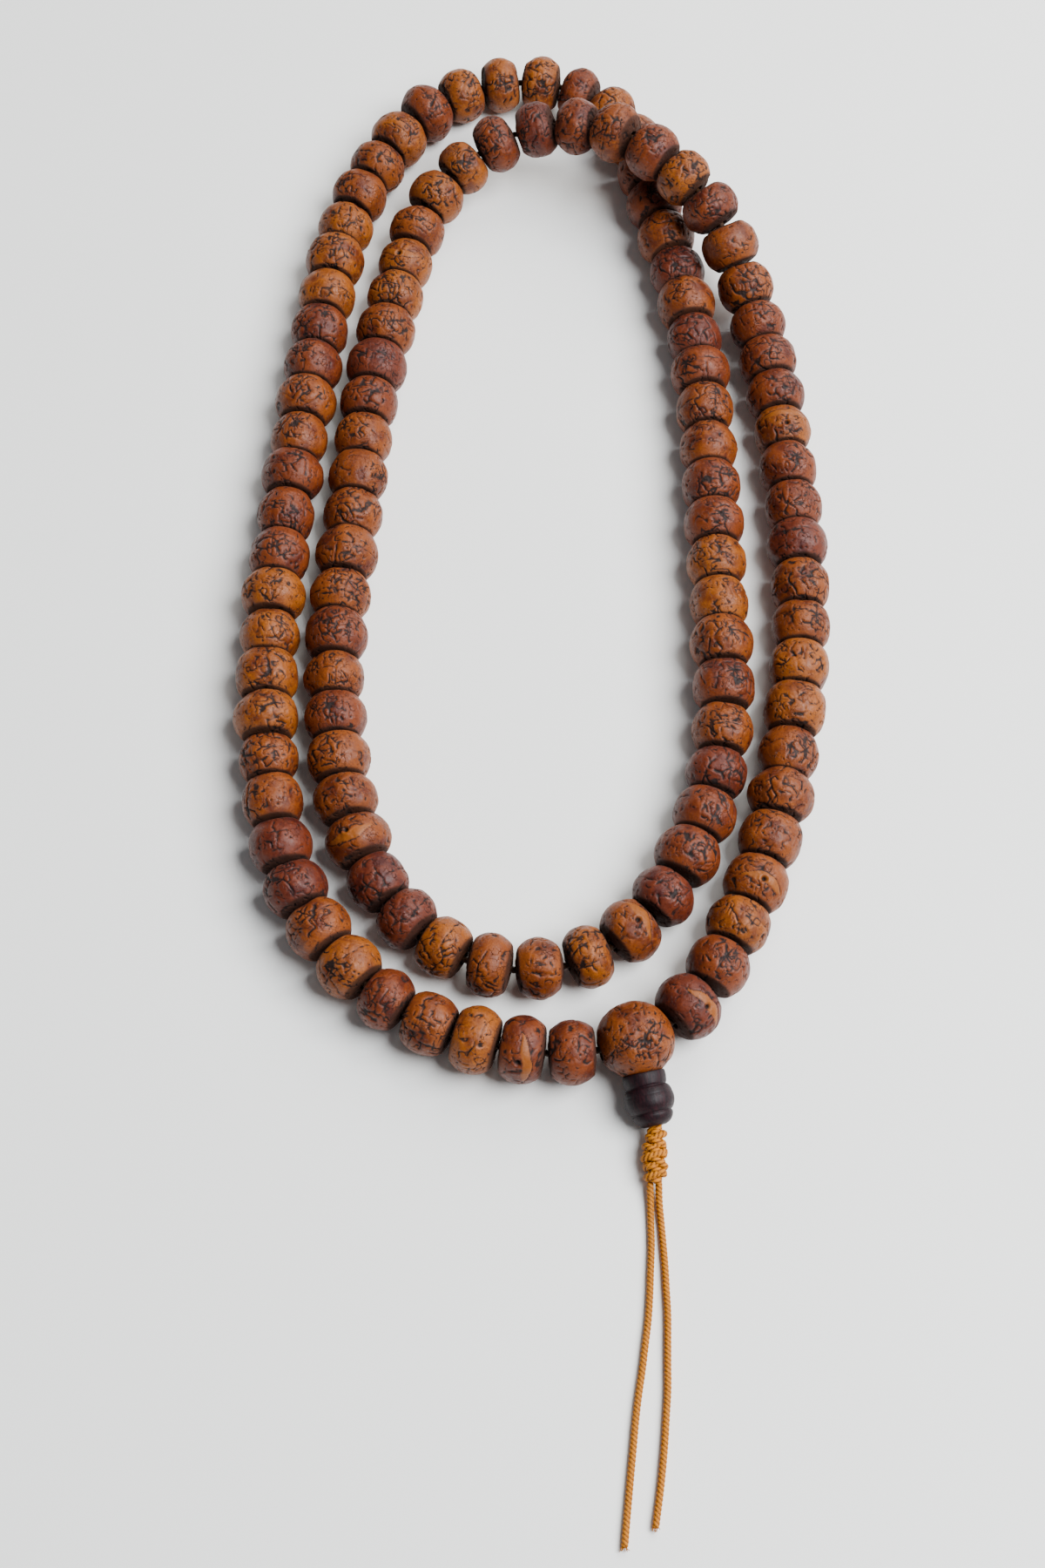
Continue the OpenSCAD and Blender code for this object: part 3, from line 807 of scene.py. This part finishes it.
def add_tail(name, node, body, route, guru, material):
    """A free cord tail, and the few fibres that stand out of its cut end."""
    points = np.array(route) + [guru[0], guru[1], 0.0]
    line = spaced(smooth_line(points, 10) / MM, 0.16)
    piece = add_cords(name, [line], material)
    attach(piece, body)
    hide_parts(node)
    rng = np.random.default_rng(len(name))
    way = unit(line[-1] - line[-4])
    hairs = []
    for _ in range(HAIRS):
        start = line[-1] - 0.3 * way + rng.uniform(-0.3, 0.3, 3) * [1, 1, 0.6]
        spread = rng.normal(0, 0.22, 3) * [1, 1, 0.5]
        tip = start + way * rng.uniform(0.35, 0.8) + spread
        tip[2] = max(tip[2], HAIR_LIFT_MM)
        middle = (start + tip) / 2 + rng.normal(0, 0.06, 3)
        middle[2] = max(middle[2], HAIR_LIFT_MM)
        hairs.append(spaced(smooth_line([start, middle, tip], 4), 0.12))
    tuft = add_cords(name + "_tuft", hairs, material, diameter_mm=HAIR_MM, sides=5)
    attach(tuft, body)


# The snake knot's loops, one after another: how far each reaches sideways in mm. It swells three times.
LOOPS_MM = (0.42, 0.8, 1.06, 1.14, 1.0, 1.36, 1.48, 1.42, 1.14, 1.28, 1.14, 0.7)
LOOP_TILT = 0.5  # how far a loop leans along the knot as it crosses it, one way and then the other
FIRST_LOOP_MM = -0.2  # how near to the stem bead the first loop comes, just inside its mouth
CLEAR_OF_STEM_MM = 0.56  # and the others, so that the knot can bend


def add_knot(start, end, exits, material):
    """The snake knot: loops drawn tight over two cores that come out as the tails."""
    axes = axes_of(end - start)
    length = np.linalg.norm(end - start) / MM
    rng = np.random.default_rng(6)
    lines = []
    for side, leaving in zip((-0.5, 0.5), exits):
        out = axes @ ((leaving - start) / MM)
        core = [(0, side, 0), (0.3 * length, side, 0.2), (0.75 * length, 0.8 * side, 0), out]
        lines.append(smooth_line(core, 12) @ axes)
    turn = np.linspace(-0.55, 1.55, 44) * math.pi
    under = np.where(np.sin(turn) < 0, 0.85, 1.0)
    for k, reach in enumerate(LOOPS_MM):
        at = -0.1 + (length + 0.05) * k / (len(LOOPS_MM) - 1)
        lean = LOOP_TILT * (1 if k % 2 else -1) + rng.uniform(-0.12, 0.12) if k else 0.0
        sideways = reach * np.cos(turn) + rng.uniform(-0.12, 0.12)
        upward = 0.86 * reach * np.sin(turn) * under
        along = at + lean * reach * np.cos(turn) + 0.12 * np.sin(turn)
        along = np.maximum(along, CLEAR_OF_STEM_MM if k else FIRST_LOOP_MM)
        lines.append(np.stack([along, sideways, upward], 1) @ axes)
    lines = [spaced(line, 0.14) for line in lines]
    piece = add_cords("snake_knot_cords", lines, material, diameter_mm=KNOT_CORD_MM, sides=20, origin=start)
    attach(piece, "knot")
    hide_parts("snake_knot")


def add_strand_cord(beads, guru, material):
    """The cord that all beads are strung on, painted dark brown for the shade it lies in between the beads."""
    line = [guru]
    for bead in beads:
        line += [bead["centre"] + bead["axis"] * bead["length"] * k for k in (-0.5, 0.0, 0.5)]
    line.append(guru)
    line = np.array(line) / MM
    line[0] += 0.15 * (line[1] - line[0])
    line[-1] += 0.15 * (line[-2] - line[-1])
    strand = add_cords("strand_cord_twisted", [spaced(softened(line, 1), 0.3)], material, sides=12)
    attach(strand, "strand")
    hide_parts("strand_cord")


def add_pendant_cords(start, end, way, material):
    """The two runs of cord side by side inside the stem bead, from the guru bead's hole to the knot."""
    aside = unit(np.cross(way, [0, 0, 1])) * 0.54
    first, last = (start - 0.0024 * way) / MM, (end + 0.0002 * way) / MM
    runs = [spaced(np.array([first, last]) + k * aside, 0.2) for k in (-1, 1)]
    pendant = add_cords("pendant_cords", runs, material, diameter_mm=PENDANT_CORD_MM, sides=14)
    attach(pendant, "pendant")
    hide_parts("pendant_cord")


# ---- Camera, floor and light ----


FLOOR_HALF_M = 3.0


def add_camera():
    data = bpy.data.cameras.new("camera")
    data.sensor_fit = "VERTICAL"
    data.sensor_height = 36.0
    data.lens = 50.17
    camera = bpy.data.objects.new("camera", data)
    camera.location = (-0.00218, -0.19036, 0.3156)
    camera.rotation_euler = Euler((math.radians(25.3), 0.0, 0.0))
    bpy.context.scene.collection.objects.link(camera)
    bpy.context.scene.camera = camera


def add_floor():
    corners = [(-1, -1), (1, -1), (1, 1), (-1, 1)]
    points = np.array([(x * FLOOR_HALF_M, y * FLOOR_HALF_M, 0.0) for x, y in corners])
    floor = add_mesh("floor", points, np.array([[0, 1, 2, 3]]))
    s = Shader("pale_floor")
    s.set(Base_Color=(0.93, 0.935, 0.905, 1.0), Roughness=0.5)
    floor.data.materials.append(s.material)


def add_light(name, place, aim, size, watts, colour):
    data = bpy.data.lights.new(name, "AREA")
    data.shape = "DISK"
    data.size = size
    data.energy = watts
    data.color = colour
    light = bpy.data.objects.new(name, data)
    light.location = place
    light.rotation_euler = (Vector(aim) - Vector(place)).to_track_quat("-Z", "Y").to_euler()
    bpy.context.scene.collection.objects.link(light)


def add_lights():
    add_light("window", (0.52, -0.10, 0.72), (0.0, -0.02, 0.0), 0.7, 21.0, (0.95, 0.97, 1.0))
    add_light("sky", (0.45, 0.75, 0.75), (0.0, 0.0, 0.0), 0.8, 11.0, (1.0, 0.98, 0.95))
    world = bpy.data.worlds.new("studio")
    world.use_nodes = True
    background = world.node_tree.nodes["Background"]
    background.inputs["Color"].default_value = (0.93, 0.95, 1.0, 1.0)
    background.inputs["Strength"].default_value = 0.17
    bpy.context.scene.world = world


# ---- The whole piece ----

add_camera()
add_floor()
add_lights()

seed_materials = {tone: bodhi_material(tone) for tone in TONE_COLOURS}
wood = stem_material()
cord = cord_material("yellow_cord", (0.56, 0.19, 0.002), (0.085, 0.017, 0.0008))
# painted shade: the strand cord is dark brown, standing in for the shade between the beads
shaded_strand_cord = cord_material("shaded_strand_cord", (0.06, 0.022, 0.006), (0.015, 0.006, 0.003))

guru = np.array(JOINTS["stem_rock"]["pos_m"])
stem_way = unit(JOINTS["stem_turn"]["axis"])
stem_start = np.array(JOINTS["stem_turn"]["pos_m"])
stem_end = np.array(JOINTS["knot_bend"]["pos_m"])

add_tail("left_tail_cord", "tail_cord_left", "left_tail", TAIL_LEFT, guru, cord)
add_tail("right_tail_cord", "tail_cord_right", "right_tail", TAIL_RIGHT, guru, cord)
knot_start = stem_end + 0.0003 * stem_way
knot_end = np.array(KNOT_END) + [guru[0], guru[1], 0.0]
exits = [np.array(JOINTS[name]["pos_m"]) for name in ("left_tail_bend", "right_tail_bend")]
add_knot(knot_start, knot_end, exits, cord)

beads = strand_beads()
add_strand_cord(beads, guru, shaded_strand_cord)
add_pendant_cords(stem_start, stem_end, stem_way, cord)
add_stem(stem_start, stem_way, wood)
to_first = beads[0]["centre"] - beads[0]["axis"] * beads[0]["length"] / 2 - guru
to_last = beads[-1]["centre"] + beads[-1]["axis"] * beads[-1]["length"] / 2 - guru
add_guru(guru, guru[2], (unit(to_first), unit(to_last)), stem_way, seed_materials["m"])
for bead in beads:
    add_bead(bead, seed_materials)
